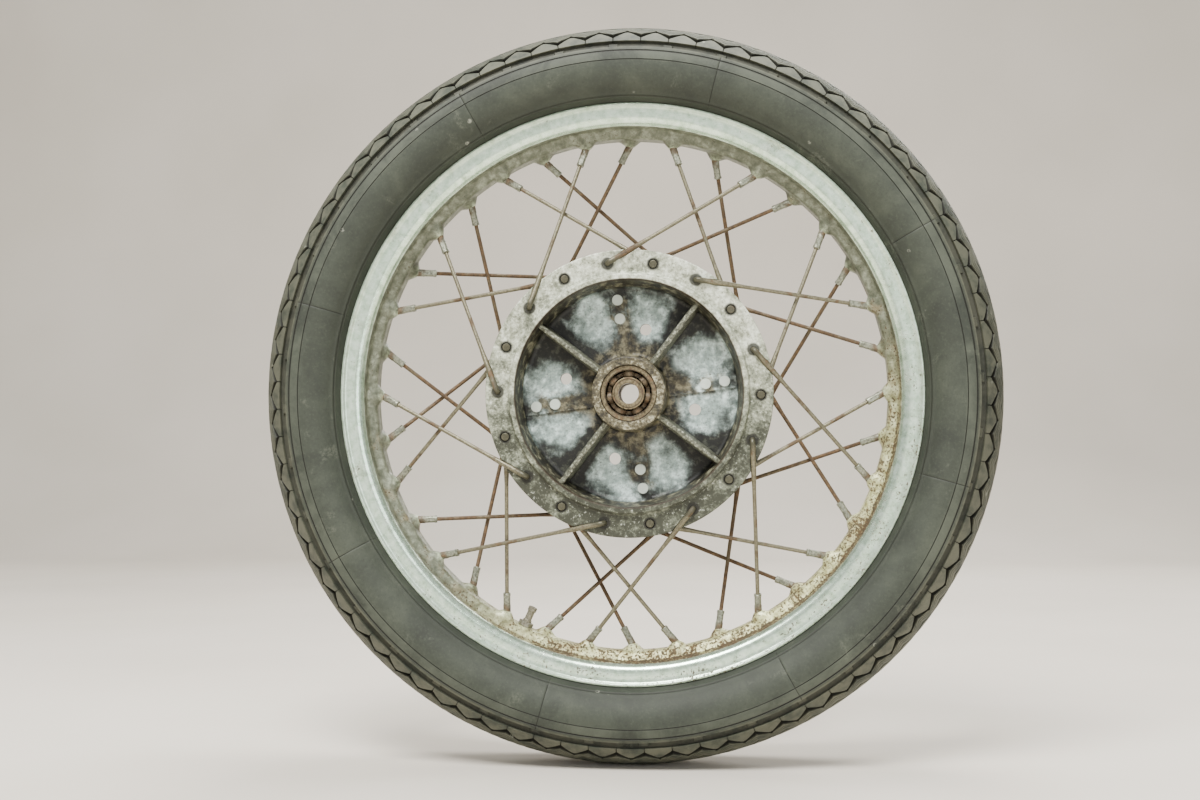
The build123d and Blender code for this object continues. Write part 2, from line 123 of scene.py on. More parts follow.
def set_stage(floor_material):
    """A pale floor that sweeps up into a backdrop, and soft light from all round."""
    sweep = [(FLOOR_FRONT, 0.0), (FLOOR_BACK, 0.0)]
    for turn in np.linspace(SWEEP_FIRST, math.pi / 2, SWEEP_STEPS):
        sweep.append((FLOOR_BACK + SWEEP_R * math.sin(turn), SWEEP_R - SWEEP_R * math.cos(turn)))
    sweep.append((FLOOR_BACK + SWEEP_R, WALL_TOP))
    points = [(x, y, FLOOR_Z + z) for y, z in sweep for x in (-FLOOR_HALF_WIDTH, FLOOR_HALF_WIDTH)]
    faces = [(2 * i, 2 * i + 1, 2 * i + 3, 2 * i + 2) for i in range(len(sweep) - 1)]
    floor = new_mesh("floor", points, faces, FLOOR_CREASE)
    floor.data.materials.append(floor_material)
    for light in LIGHTS:
        area_light(*light)
    world = bpy.data.worlds.new("world")
    world.use_nodes = True
    background = world.node_tree.nodes["Background"]
    background.inputs["Color"].default_value = WORLD_COLOUR
    background.inputs["Strength"].default_value = WORLD_STRENGTH
    bpy.context.scene.world = world


# ---------------------------------------------------------------- materials


def srgb(r, g, b):
    """Linear colour from 8-bit display values."""
    line = [((c / 255 + 0.055) / 1.055) ** 2.4 if c > 10 else c / 255 / 12.92 for c in (r, g, b)]
    return (*line, 1.0)


def tones(*stops):
    """Stops of a colour ramp from (position, red, green, blue) rows."""
    return [(position, srgb(*colour)) for position, *colour in stops]


class Finish:
    """One procedural material. Textures read the object's own coordinates, so they ride with the part."""

    def __init__(self, name, specular=0.5):
        self.material = bpy.data.materials.new(name)
        self.material.use_nodes = True
        self.tree = self.material.node_tree
        self.tree.nodes.clear()
        self.surface = self.node("ShaderNodeBsdfPrincipled")
        self.surface.inputs["Specular IOR Level"].default_value = specular
        self.link(self.surface.outputs[0], self.node("ShaderNodeOutputMaterial").inputs["Surface"])
        self.place = self.node("ShaderNodeTexCoord").outputs["Object"]
        split = self.node("ShaderNodeSeparateXYZ")
        self.link(self.place, split.inputs[0])
        self.x, self.y, self.z = [self.mul(axis, 1 / MM) for axis in split.outputs]
        self.radius = self.length(self.x, self.z)

    def node(self, kind, **settings):
        made = self.tree.nodes.new(kind)
        for key, value in settings.items():
            setattr(made, key, value)
        return made

    def link(self, source, socket):
        self.tree.links.new(source, socket)

    def put(self, value, socket):
        """Links an output, or sets a constant."""
        if isinstance(value, bpy.types.NodeSocket):
            self.link(value, socket)
        else:
            socket.default_value = value

    def math(self, operation, a, b=0.0, clamp=False):
        made = self.node("ShaderNodeMath", operation=operation, use_clamp=clamp)
        self.put(a, made.inputs[0])
        self.put(b, made.inputs[1])
        return made.outputs[0]

    def mul(self, *values):
        out = values[0]
        for value in values[1:]:
            out = self.math("MULTIPLY", out, value)
        return out

    def plus(self, *values):
        out = values[0]
        for value in values[1:]:
            out = self.math("ADD", out, value)
        return out

    def minus(self, a, b):
        return self.math("SUBTRACT", a, b)

    def size(self, a):
        return self.math("ABSOLUTE", a)

    def length(self, a, b):
        return self.math("SQRT", self.plus(self.mul(a, a), self.mul(b, b)))

    def either(self, a, b):
        return self.math("MAXIMUM", a, b)

    def inverse(self, a):
        return self.math("SUBTRACT", 1.0, a, clamp=True)

    def weigh(self, *parts):
        """The sum of (value, weight) pairs."""
        return self.plus(*[self.mul(value, weight) for value, weight in parts])

    def step(self, value, low, high):
        """0 at low and 1 at high, smooth between. low may be the larger one."""
        made = self.node("ShaderNodeMapRange", interpolation_type="SMOOTHSTEP")
        self.put(value, made.inputs["Value"])
        made.inputs["From Min"].default_value = min(low, high)
        made.inputs["From Max"].default_value = max(low, high)
        made.inputs["To Min"].default_value = 0.0 if low < high else 1.0
        made.inputs["To Max"].default_value = 1.0 if low < high else 0.0
        return made.outputs[0]

    def band(self, value, low, high, soft):
        """1 between low and high, with soft edges."""
        return self.mul(self.step(value, low - soft, low + soft), self.step(value, high + soft, high - soft))

    def zone(self, radii, depths):
        """1 where both the radius and y are past their second limits, 0 before their first ones."""
        return self.mul(self.step(self.radius, *radii), self.step(self.y, *depths))

    def noise(self, grain, detail=4.0, roughness=0.55, seed=0.0, warp=0.0):
        """Noise whose grain is about that many millimetres."""
        shift = self.node("ShaderNodeMapping")
        shift.inputs["Location"].default_value = (seed * 1.37, seed * 0.73, seed * 2.11)
        self.link(self.place, shift.inputs["Vector"])
        made = self.node("ShaderNodeTexNoise")
        self.link(shift.outputs[0], made.inputs["Vector"])
        made.inputs["Scale"].default_value = 1 / MM / grain
        made.inputs["Detail"].default_value = detail
        made.inputs["Roughness"].default_value = roughness
        made.inputs["Distortion"].default_value = warp
        return made.outputs[0]

    def cells(self, spacing, seed=0.0):
        """Distance to the nearest of a scatter of points about spacing millimetres apart."""
        shift = self.node("ShaderNodeMapping")
        shift.inputs["Location"].default_value = (seed * 0.91, seed * 1.53, seed * 0.37)
        self.link(self.place, shift.inputs["Vector"])
        made = self.node("ShaderNodeTexVoronoi")
        self.link(shift.outputs[0], made.inputs["Vector"])
        made.inputs["Scale"].default_value = 1 / MM / spacing
        return made.outputs["Distance"]

    def attribute(self, name):
        """A number that the mesh carries on its points."""
        return self.node("ShaderNodeAttribute", attribute_name=name).outputs["Fac"]

    def around(self, first, pitch):
        """Millimetres along the arc from the nearest of the stations at first + k * pitch degrees."""
        angle = self.mul(self.math("ARCTAN2", self.z, self.x), 180 / math.pi)
        turned = self.plus(self.minus(angle, first), 360 + pitch / 2)
        off = self.minus(self.math("MODULO", turned, pitch), pitch / 2)
        return self.mul(off, math.pi / 180, self.radius)

    def spot(self, first, pitch, radius):
        """Distance from the nearest of a ring of points at that radius."""
        return self.length(self.around(first, pitch), self.minus(self.radius, radius))

    def toward(self, angle):
        """1 on the wheel's side at that angle, falling to 0 on the far side."""
        a = math.radians(angle)
        reach = self.weigh((self.x, math.cos(a)), (self.z, math.sin(a)))
        share = self.math("DIVIDE", reach, self.either(self.radius, 1.0))
        return self.math("ADD", self.mul(share, 0.5), 0.5, clamp=True)

    def mix(self, share, a, b):
        """From colour a to colour b by the share."""
        made = self.node("ShaderNodeMix", data_type="RGBA")
        self.put(share, made.inputs["Factor"])
        for value, socket in ((a, made.inputs[6]), (b, made.inputs[7])):
            self.put(value, socket)
        return made.outputs[2]

    def coat(self, tone, colour, strength, *masks):
        """The tone with a colour laid over it where all the masks are 1."""
        return self.mix(self.mul(*masks, strength), tone, colour)

    def shades(self, value, stops):
        """A colour ramp."""
        made = self.node("ShaderNodeValToRGB")
        ramp = made.color_ramp
        while len(ramp.elements) < len(stops):
            ramp.elements.new(0.5)
        for element, (position, colour) in zip(ramp.elements, stops):
            element.position = position
            element.color = colour
        self.put(value, made.inputs[0])
        return made.outputs[0]

    def finish(self, colour, roughness, height, depth, metallic=None):
        """Sets the surface. height is a bump in units of depth millimetres."""
        self.put(colour, self.surface.inputs["Base Color"])
        self.put(roughness, self.surface.inputs["Roughness"])
        if metallic is not None:
            self.put(metallic, self.surface.inputs["Metallic"])
        bump = self.node("ShaderNodeBump")
        bump.inputs["Distance"].default_value = depth * MM
        bump.inputs["Strength"].default_value = 1.0
        self.link(height, bump.inputs["Height"])
        self.link(bump.outputs[0], self.surface.inputs["Normal"])
        return self.material


RUST_DARK, RUST, RUST_LIGHT = srgb(44, 33, 22), srgb(82, 60, 36), srgb(118, 90, 56)
RUST_STOPS = [(0.3, RUST_DARK), (0.5, RUST), (0.72, RUST_LIGHT)]


def rust_colour(f, seed):
    """Brown rust with lighter and near-black patches."""
    return f.shades(f.noise(3.0, detail=5, roughness=0.65, seed=seed), RUST_STOPS)


FLOOR_STOPS = tones((0.3, 214, 207, 194), (0.7, 222, 215, 203))
FLOOR_ROUGHNESS = 0.85


def floor_finish():
    """Plain pale paper."""
    f = Finish("floor_finish")
    tone = f.shades(f.noise(400, detail=3, roughness=0.5, seed=1), FLOOR_STOPS)
    return f.finish(tone, FLOOR_ROUGHNESS, f.noise(1.6, detail=3), 0.05)


# ---------------------------------------------------------------- tyre finish

TYRE_STOPS = tones((0.3, 45, 49, 42), (0.52, 56, 61, 52), (0.72, 69, 74, 63))
BLOOM, RUBBER_DARK, TREAD_DUST = srgb(92, 97, 82), srgb(36, 38, 32), srgb(100, 100, 84)
SIDE_DUST, BEAD_PAINTED_SHADE, GROOVE_DIRT_AND_SHADE = srgb(94, 99, 86), srgb(44, 47, 40), srgb(21, 20, 15)
SCUFF, WIPE = srgb(150, 152, 138), srgb(104, 108, 94)
TREAD_BEGINS = (284.5, 287.5)
DUSTY_SIDE = (275.5, 284.0, 0.8)
SHADED_BEAD = (262.0, 244.0)


def tyre_finish():
    """Old dusty rubber: grey-green bloom, pale dust on the crowns, and dirt with painted shade in the grooves and
    moulded lines.
    """
    f = Finish("tyre_finish", specular=0.35)
    broad = f.noise(38, detail=5, roughness=0.6, seed=3, warp=0.4)
    fine = f.noise(2.2, detail=6, roughness=0.7, seed=4)
    dusty = f.step(f.noise(16, detail=6, roughness=0.65, seed=5), 0.32, 0.6)
    tone = f.shades(broad, TYRE_STOPS)
    tone = f.coat(tone, BLOOM, 0.22, f.step(fine, 0.5, 0.72))
    tone = f.coat(tone, RUBBER_DARK, 0.45, f.step(fine, 0.48, 0.28))
    tone = f.coat(tone, TREAD_DUST, 0.6, f.step(f.radius, *TREAD_BEGINS), dusty)
    tone = f.coat(tone, SIDE_DUST, 0.3, f.band(f.radius, *DUSTY_SIDE), f.step(broad, 0.35, 0.6))
    # Painted shade: the lower sidewall darkens towards the bead, where the tyre meets the rim.
    tone = f.coat(tone, BEAD_PAINTED_SHADE, 0.35, f.step(f.radius, *SHADED_BEAD))
    # Dirt and painted shade: the grooves, sunk lines and seams darken as far as the mesh's depth attribute says.
    tone = f.coat(tone, GROOVE_DIRT_AND_SHADE, 0.9, f.step(f.attribute("depth"), 0.0, 0.2))
    tone = f.coat(tone, SCUFF, 0.8, f.step(f.cells(34, seed=2), 0.07, 0.03), f.step(fine, 0.42, 0.55))
    wiped = f.noise(30, detail=4, roughness=0.6, seed=7, warp=0.8)
    tone = f.coat(tone, WIPE, 0.35, f.step(wiped, 0.6, 0.72), f.step(fine, 0.4, 0.6))
    grain = f.noise(0.7, detail=3, roughness=0.6, seed=6)
    return f.finish(tone, f.plus(f.mul(fine, 0.2), 0.52), f.weigh((fine, 0.5), (grain, 0.5)), 0.22)


# ---------------------------------------------------------------- rim finish

CHROME_STOPS = tones((0.3, 172, 194, 170), (0.46, 206, 230, 206), (0.62, 234, 253, 234))
DULL_STOPS = tones((0.34, 112, 120, 102), (0.54, 168, 178, 160), (0.68, 212, 222, 204))
SILVER_STOPS = tones((0.34, 78, 82, 66), (0.52, 110, 114, 96), (0.68, 150, 155, 136))
CREAM_STOPS = tones((0.34, 138, 134, 86), (0.5, 194, 194, 142), (0.66, 236, 238, 188))
SPECK_STOPS = [(0.4, RUST_DARK), (0.62, RUST)]
# The first colour is painted shade for the flange's outer lip.
LIP_PAINTED_SHADE, RIM_STAIN = srgb(150, 160, 142), srgb(140, 118, 78)
CREASE_RUST, PIT_GREY = srgb(104, 84, 56), srgb(96, 100, 84)
RUSTY_SIDE, CLEAN_SIDE = -60, 130  # degrees
# The FACE pairs are distances from the wheel's middle plane
WELL_FACE = (20.5, 19.2)
CREASE_R, CREASE_FACE = (222.6, 224.2), (21.8, 19.8)
BEVEL_R, BEVEL_FACE = (233.5, 230.5), (19.5, 20.5)
LIP_R = (237.5, 241.5)


def rim_rust(f, low_right, zones, speck, patch):
    """1 where rust breaks through: most at the lower right, least on the bevel and round the nipples."""
    well, bevel, crease, near = zones
    amount = f.weigh((f.step(low_right, 0.35, 0.95), 0.075), (patch, 0.45))
    amount = f.plus(amount, f.mul(well, f.step(low_right, 0.5, 0.95), 0.08))
    amount = f.minus(f.minus(amount, f.mul(near, 0.05)), f.mul(bevel, 0.08))
    amount = f.plus(amount, f.mul(crease, f.plus(f.mul(low_right, 0.10), 0.02)))
    return f.step(f.plus(f.mul(speck, 1.1), amount), 0.94, 0.98)


def rim_finish():
    """Dull old chrome: pale and greenish outside, silver to cream in the well, rusty at the lower right."""
    f = Finish("rim_finish")
    low_right = f.toward(RUSTY_SIDE)
    near = f.attribute("rust")
    face = f.size(f.y)
    well = f.step(face, *WELL_FACE)
    crease = f.mul(f.step(f.radius, *CREASE_R), f.step(face, *CREASE_FACE), f.step(low_right, 0.55, 0.9))
    bevel = f.mul(f.step(f.radius, *BEVEL_R), f.step(face, *BEVEL_FACE))
    speck = f.noise(2.0, detail=4, roughness=0.6, seed=11)
    patch = f.noise(21, detail=6, roughness=0.62, seed=12, warp=0.3)
    medium = f.noise(6.5, detail=6, roughness=0.68, seed=13, warp=0.2)
    rusty = rim_rust(f, low_right, (well, bevel, crease, near), speck, patch)

    dulled = f.step(f.plus(patch, f.mul(f.toward(CLEAN_SIDE), 0.1)), 0.60, 0.80)
    bare = f.coat(f.shades(medium, CHROME_STOPS), f.shades(medium, DULL_STOPS), 0.5, dulled)
    # Painted shade: the flange darkens towards its outer lip, for the shading of its curve.
    bare = f.coat(bare, LIP_PAINTED_SHADE, 0.35, f.step(f.radius, *LIP_R))
    cream = f.shades(medium, CREAM_STOPS)
    inner = f.mix(f.step(low_right, 0.6, 0.92), f.shades(medium, SILVER_STOPS), cream)
    inner = f.coat(inner, f.mix(0.5, bare, cream), 0.6, near, f.step(medium, 0.35, 0.6))
    tone = f.mix(well, bare, inner)
    stained = f.step(f.plus(patch, f.mul(low_right, 0.2)), 0.62, 0.84)
    tone = f.mix(f.mul(stained, f.plus(f.mul(well, 0.4), 0.1)), tone, RIM_STAIN)
    creased = f.step(f.noise(11, detail=4, roughness=0.6, seed=17), 0.3, 0.6)
    tone = f.coat(tone, CREASE_RUST, 0.65, crease, creased)
    tone = f.coat(tone, f.shades(f.noise(3.0, detail=5, roughness=0.65, seed=15), SPECK_STOPS), 0.9, rusty)
    pitted = f.step(f.noise(1.2, detail=4, roughness=0.7, seed=16), 0.60, 0.70)
    tone = f.coat(tone, PIT_GREY, 0.5, pitted)

    gloss = f.minus(f.weigh((patch, 0.2), (well, 0.22)), f.mul(near, well, 0.12))
    rough = f.plus(f.mul(rusty, 0.35), f.plus(gloss, 0.14))
    metal = f.mul(f.inverse(rusty), f.minus(f.plus(0.5, f.mul(bevel, 0.3)), f.mul(well, 0.25)))
    return f.finish(tone, rough, f.weigh((rusty, 0.6), (speck, 0.4)), 0.1, metal)


# ---------------------------------------------------------------- hub finish

# First angle and pitch in degrees, and the holes' radius
HUB_HOLES = (-0.7, 20.0, 109.0)
RIBS = (52.7, 90.0)
RIDGES = (7.7, 90.0)
PAD_RADII = (64.0, 80.0)
# Zones: a pair of radii and a pair of depths (y). A finish begins at the first of a pair and is full at the second.
RECESS = ((95.5, 94.0), (-5.0, -7.0))
RECESS_WALL = ((86.0, 89.5), (-14.5, -17.0))
RECESS_LIP = ((94.0, 92.0), (-33.5, -34.8))
BOSS = ((32.8, 31.0), (-14.0, -18.0))
DRUM_SIDE = ((99.0, 97.0), (-7.0, -5.0))
MOUTH_BAND, MOUTH_Y = (93.2, 95.2, 0.6), (-36.0, -40.0)
RIB_R, RIB_Y = (88.0, 86.0), (-14.0, -17.0)
FRONT_Y, PAD_Y = (0.0, -10.0), (-12.5, -14.0)
HOLE_RING, PAD_EDGE, RIB_EDGE = (6.2, 4.4), (4.9, 4.2), (5.2, 4.2)
# A pale lobe beside each ridge: its place and its half widths
LOBE_ASIDE, LOBE_HALF_ASIDE = 25.0, 24
LOBE_R, LOBE_HALF_R = 68.0, 27
LIGHT_SIDE, DARK_SIDE = 80, 275  # degrees
OXIDE_STOPS = tones(
    (0.38, 58, 60, 48), (0.44, 98, 102, 86), (0.50, 146, 150, 130), (0.56, 190, 194, 174), (0.62, 224, 229, 212)
)
BLACK_STOPS = tones((0.36, 12, 13, 11), (0.52, 26, 27, 22), (0.66, 74, 76, 64))
PALE_STOPS = tones((0.36, 102, 116, 110), (0.5, 156, 174, 168), (0.62, 222, 240, 236))
WALL_STOPS = tones((0.40, 18, 17, 12), (0.52, 56, 54, 40), (0.62, 132, 130, 106))
BROWN_STOPS = tones((0.38, 38, 34, 22), (0.5, 76, 70, 50), (0.62, 126, 120, 94))
SHINE_STOPS = tones((0.38, 40, 40, 30), (0.54, 108, 110, 92), (0.68, 196, 200, 182))
BOSS_STOPS = tones((0.42, 32, 27, 17), (0.52, 88, 80, 56), (0.62, 184, 180, 154))
DUST_STOPS = tones((0.38, 40, 36, 28), (0.5, 74, 68, 56), (0.62, 122, 116, 100))
WHITE_SPECK, DARK_SPECK, HOLE_RING_DARK = srgb(228, 232, 218), srgb(48, 46, 32), srgb(28, 27, 20)
POCKET_SPECK, PAD_WHITE, MOUTH_DARK = srgb(52, 52, 40), srgb(206, 215, 204), srgb(50, 38, 24)


def flange_tone(f, broad, medium, fine):
    """Chalky oxide: light zones at the top, dark ones at the bottom, white specks all over."""
    chalk = f.weigh((broad, 0.26), (medium, 0.4), (fine, 0.34))
    chalk = f.plus(chalk, f.mul(f.step(f.toward(LIGHT_SIDE), 0.3, 1.0), 0.05))
    chalk = f.minus(chalk, f.mul(f.step(f.toward(DARK_SIDE), 0.3, 1.0), 0.105))
    tone = f.shades(chalk, OXIDE_STOPS)
    tone = f.coat(tone, WHITE_SPECK, 0.6, f.step(fine, 0.60, 0.66))
    tone = f.coat(tone, DARK_SPECK, 0.7, f.step(fine, 0.40, 0.33))
    # A dark ring round each spoke hole on the front face.
    return f.coat(tone, HOLE_RING_DARK, 0.9, f.step(f.y, *FRONT_Y), f.step(f.spot(*HUB_HOLES), *HOLE_RING))


def recess_tone(f, broad, medium, fine, rib):
    """The recess: two pale lobes in each quadrant, black between them, brown along the ridges, white pads."""
    ridge = f.size(f.around(*RIDGES))
    aside = f.mul(f.minus(ridge, LOBE_ASIDE), 1 / LOBE_HALF_ASIDE)
    outward = f.mul(f.minus(f.radius, LOBE_R), 1 / LOBE_HALF_R)
    lobe = f.plus(f.length(aside, outward), f.mul(f.step(rib, 17.0, 5.0), 0.55))
    white = f.step(f.minus(f.weigh((broad, 2.0), (medium, 0.9)), lobe), 0.2, 1.15)
    pale = f.shades(f.weigh((medium, 0.6), (broad, 0.4)), PALE_STOPS)
    tone = f.mix(white, f.shades(medium, BLACK_STOPS), pale)
    tone = f.coat(tone, POCKET_SPECK, 0.6, f.step(fine, 0.55, 0.66))
    tone = f.mix(f.zone(*RECESS_WALL), tone, f.shades(medium, WALL_STOPS))
    beside = f.mul(f.step(ridge, 13.0, 6.0), f.step(f.radius, 86.0, 76.0))
    streaks = f.noise(9, detail=5, roughness=0.62, seed=26, warp=0.2)
    streak = f.mul(beside, f.step(streaks, 0.38, 0.58))
    streak = f.either(streak, f.mul(f.step(f.radius, 50.0, 35.0), f.step(medium, 0.40, 0.56)))
    tone = f.coat(tone, f.shades(medium, BROWN_STOPS), 0.93, streak)
    pad = f.either(*[f.step(f.spot(*RIDGES, radius), *PAD_EDGE) for radius in PAD_RADII])
    return f.coat(tone, PAD_WHITE, 0.85, pad, f.step(f.y, *PAD_Y))


def hub_finish():
    """Weathered cast aluminium: speckled flanges, a grimy recess, shinier ribs and boss, dust on the drum side."""
    f = Finish("hub_finish")
    broad = f.noise(26, detail=3, roughness=0.5, seed=21, warp=0.2)
    medium = f.noise(7, detail=6, roughness=0.66, seed=27, warp=0.1)
    fine = f.noise(2.4, detail=6, roughness=0.74, seed=22)
    grain = f.noise(1.0, detail=4, roughness=0.7, seed=23)
    recess = f.zone(*RECESS)
    rib = f.size(f.around(*RIBS))
    tone = f.mix(recess, flange_tone(f, broad, medium, fine), recess_tone(f, broad, medium, fine, rib))
    ribs = f.mul(f.step(f.y, *RIB_Y), f.step(rib, *RIB_EDGE), f.step(f.radius, *RIB_R))
    shine = f.shades(fine, SHINE_STOPS)
    tone = f.mix(f.either(f.mul(ribs, 0.75), f.zone(*RECESS_LIP)), tone, shine)
    worn = f.shades(f.weigh((fine, 0.5), (medium, 0.5)), BOSS_STOPS)
    tone = f.coat(tone, worn, 0.9, f.zone(*BOSS))
    # A dark brown band round the mouth of the recess.
    tone = f.coat(tone, MOUTH_DARK, 0.85, f.band(f.radius, *MOUTH_BAND), f.step(f.y, *MOUTH_Y))
    dust = f.shades(f.weigh((medium, 0.6), (broad, 0.4)), DUST_STOPS)
    tone = f.coat(tone, dust, 0.85, f.zone(*DRUM_SIDE))
    rough = f.plus(f.mul(fine, 0.3), 0.36)
    return f.finish(tone, rough, f.weigh((fine, 0.6), (grain, 0.4)), 0.35, f.mul(f.inverse(recess), 0.2))


# ---------------------------------------------------------------- other finishes

HUB_END_R = (114.0, 110.5)
HUB_END_DIRT = srgb(66, 66, 52)
NIPPLE_STOPS = tones((0.35, 84, 86, 72), (0.62, 158, 160, 142))
NIPPLE_RUST_R = (204.5, 210.0)


def spoke_finish(name, dark, light, rusty_share, seed):
    """Old plated wire: dull grey-beige with stretches of rust, dirty at the hub."""
    f = Finish(name)
    along = f.noise(16, detail=4, roughness=0.6, seed=seed, warp=0.4)
    fine = f.noise(1.6, detail=5, roughness=0.7, seed=seed + 1)
    tone = f.shades(fine, [(0.35, dark), (0.65, light)])
    rust = f.step(f.plus(along, f.mul(fine, 0.25)), 0.86 - rusty_share, 0.98 - rusty_share)
    tone = f.coat(tone, rust_colour(f, seed + 2), 0.85, rust)
    tone = f.coat(tone, HUB_END_DIRT, 0.8, f.step(f.radius, *HUB_END_R))
    rough = f.plus(f.mul(rust, 0.3), 0.42)
    return f.finish(tone, rough, f.plus(f.mul(rust, 0.6), fine), 0.12, f.mul(f.inverse(rust), 0.4))


def nipple_finish():
    """Plated brass nipples, grey with rust where they leave the rim."""
    f = Finish("nipple_finish")
    fine = f.noise(1.8, detail=5, roughness=0.7, seed=41)
    patch = f.noise(7, detail=4, roughness=0.6, seed=42)
    rust = f.mul(f.step(f.radius, *NIPPLE_RUST_R), f.step(patch, 0.36, 0.52))
    tone = f.coat(f.shades(fine, NIPPLE_STOPS), rust_colour(f, 43), 0.85, rust)
    return f.finish(tone, f.plus(f.mul(rust, 0.3), 0.4), fine, 0.05, f.mul(f.inverse(rust), 0.45))


def worn_metal(name, dark, light, roughness, metallic, rust, grain, seed, rings=()):
    """Bare or plated metal with stains and some rust, and dark rings between the given radii."""
    f = Finish(name)
    fine = f.noise(grain, detail=5, roughness=0.68, seed=seed)
    patch = f.noise(grain * 2.4, detail=5, roughness=0.65, seed=seed + 1, warp=0.5)
    stained = f.step(patch, 0.72 - rust, 0.84 - rust)
    tone = f.coat(f.shades(fine, [(0.34, dark), (0.66, light)]), rust_colour(f, seed + 2), 0.8, stained)
    for low, high in rings:
        tone = f.coat(tone, RUST_DARK, 0.8, f.band(f.radius, low, high, 0.3))
    rough = f.plus(f.mul(stained, 0.35), roughness)
    return f.finish(tone, rough, fine, 0.08, f.mul(f.inverse(stained), metallic))


def rubber(name, dark, light, seed):
    """Matt rubber with a dusty bloom."""
    f = Finish(name, specular=0.3)
    fine = f.noise(3.0, detail=5, roughness=0.65, seed=seed)
    grain = f.noise(0.9, detail=3, roughness=0.6, seed=seed + 1)
    return f.finish(f.shades(fine, [(0.3, dark), (0.7, light)]), f.plus(f.mul(fine, 0.2), 0.55), grain, 0.08)


# ---------------------------------------------------------------- turned grids


def swept(name, angles, rows):
    """A closed ring from rows of (radius, y) arrays over the angles; the rows form a closed section."""
    a = np.radians(angles)
    points = np.stack([np.stack([r * np.cos(a), y, r * np.sin(a)], axis=1) for r, y in rows])
    m, n = points.shape[:2]
    i, j = np.meshgrid(np.arange(m), np.arange(n), indexing="ij")
    i2, j2 = (i + 1) % m, (j + 1) % n
    faces = np.stack([i * n + j, i * n + j2, i2 * n + j2, i2 * n + j], axis=2).reshape(-1, 4)
    return new_mesh(name, points.reshape(-1, 3) * MM, faces.tolist())


def attribute(obj, name, values):
    """A number on each point that a finish reads."""
    layer = obj.data.attributes.new(name, "FLOAT", "POINT")
    layer.data.foreach_set("value", np.asarray(values, np.float32).ravel())


def level(value, like):
    """The same value at every angle."""
    return value + 0 * like


# ---------------------------------------------------------------- tyre

PITCHES = 80
FIRST_V = 29.5
CROWN_R = 303
TREAD_CENTRE_R, TREAD_ARC_R = 257.6, 53.9
COLUMN_SHARES = (0, 0.02, 0.09, 0.16, 0.185, 0.30, 0.431, 0.461, 0.5, 0.539, 0.569, 0.70, 0.815, 0.84, 0.91, 0.98)
AT_APEX = 0.001
PIT_R = 1.9
GROOVE_HALF = 1.0
NOTCH_FROM, NOTCH_DEPTH = 42.4, 0.9
# Groove depth in millimetres at which the painted dirt and shade is darkest
DARK_DEPTH = 0.8
# Each row: its distance from the crown at a V's bottom and at its apex, depth, and shape: V straight, U round, and
# - and + the two edges of a groove that widens to a round pit
TREAD_ROWS = [
    (5.0, -3.0, 4.5, "V"), (5.6, -2.4, 0.0, "V"),
    (11.6, 3.6, 0.0, "U"), (12.0, 4.0, 1.4, "U"), (12.4, 4.4, 0.0, "U"),
    (21.0, 12.4, 0.0, "V"), (21.5, 12.9, 4.5, "V"), (23.3, 14.7, 4.5, "V"), (23.8, 15.2, 0.0, "V"),
    (28.2, 19.4, 0.0, "U"), (28.6, 19.8, 1.2, "U"), (29.0, 20.2, 0.0, "U"),
    (31.6, 22.8, 0.0, "U"), (32.0, 23.2, 1.2, "U"), (32.4, 23.6, 0.0, "U"),
    (35.0, 26.0, 0.0, "U"), (35.4, 26.4, 1.2, "U"), (35.8, 26.8, 0.0, "U"),
    (36.4, 28.8, 0.0, "-"), (37.2, 29.4, 3.8, "-"), (41.8, 31.2, 3.8, "+"), (42.4, 31.8, 0.0, "+"),
    (43.8, 38.5, 0.0, "U"),
]
# Shoulder rows: radius, y, y where there is a tab, and how dark the painted dirt and shade is in each of these two
SHOULDER_ROWS = [
    (291.9, 38.0, 38.0, 0.13, 0.13), (290.4, 38.2, 38.2, 0.11, 0.11),
    (290.0, 38.4, 40.2, 0.11, 0.09), (287.9, 39.0, 41.2, 0.1, 0.08),
]
TREAD_EDGE, EDGE_CUT = (292.9, 40.8), 0.8
TAB_HALF, TAB_EVERY = 0.17, 2
SIDE_ARC = ((247.0, 31.0), (273.8, 46.0), (288.6, 42.3))
# Sidewall rows from the shoulder to the bead: radius and how far the surface is raised
SIDE_ROWS = [
    (287.4, 0), (286.6, 0), (285.2, 0), (284.7, 0), (284.3, -0.55), (283.7, -0.55), (283.3, 0), (281.0, 0),
    (278.6, 0), (276.7, 0), (276.4, -0.4), (276.1, -0.4), (275.8, 0), (273.0, 0), (270.0, 0), (267.0, 0), (264.0, 0),
    (261.0, 0), (258.0, 0), (255.0, 0), (252.3, 0), (250.2, 0), (249.8, 0.35), (249.4, 0.35), (249.0, 0), (248.4, 0),
    (248.0, 0.35), (247.6, 0.35), (247.2, 0),
]
BETWEEN_LINES = (248.2, 249.2)
BEAD = ((244.7, 26.9), (241.9, 23.3), (230.6, 23.3), (228.15, 22.2), (227.2, 12.2))
CASING = ((227.5, 12.3), (236.0, 14.8), (247.0, 22.8), (259.0, 34.0), (272.0, 39.5), (286.5, 35.4), (296.0, 20.0))
SEAM_PITCHES, SEAM_CUT = 10, 0.3
# How dark the painted dirt and shade is in the sunk lines, between the raised lines and in the seams
LINE_DARK, GAP_DARK, SEAM_DARK = 0.75, 0.12, 0.28


def circle_through(a, b, c):
    """Centre and radius of the circle through three points."""
    a, b, c = (np.array(p, float) for p in (a, b, c))
    centre = np.linalg.solve(np.array([b - a, c - a]), 0.5 * np.array([b @ b - a @ a, c @ c - a @ a]))
    return centre, math.dist(centre, a)


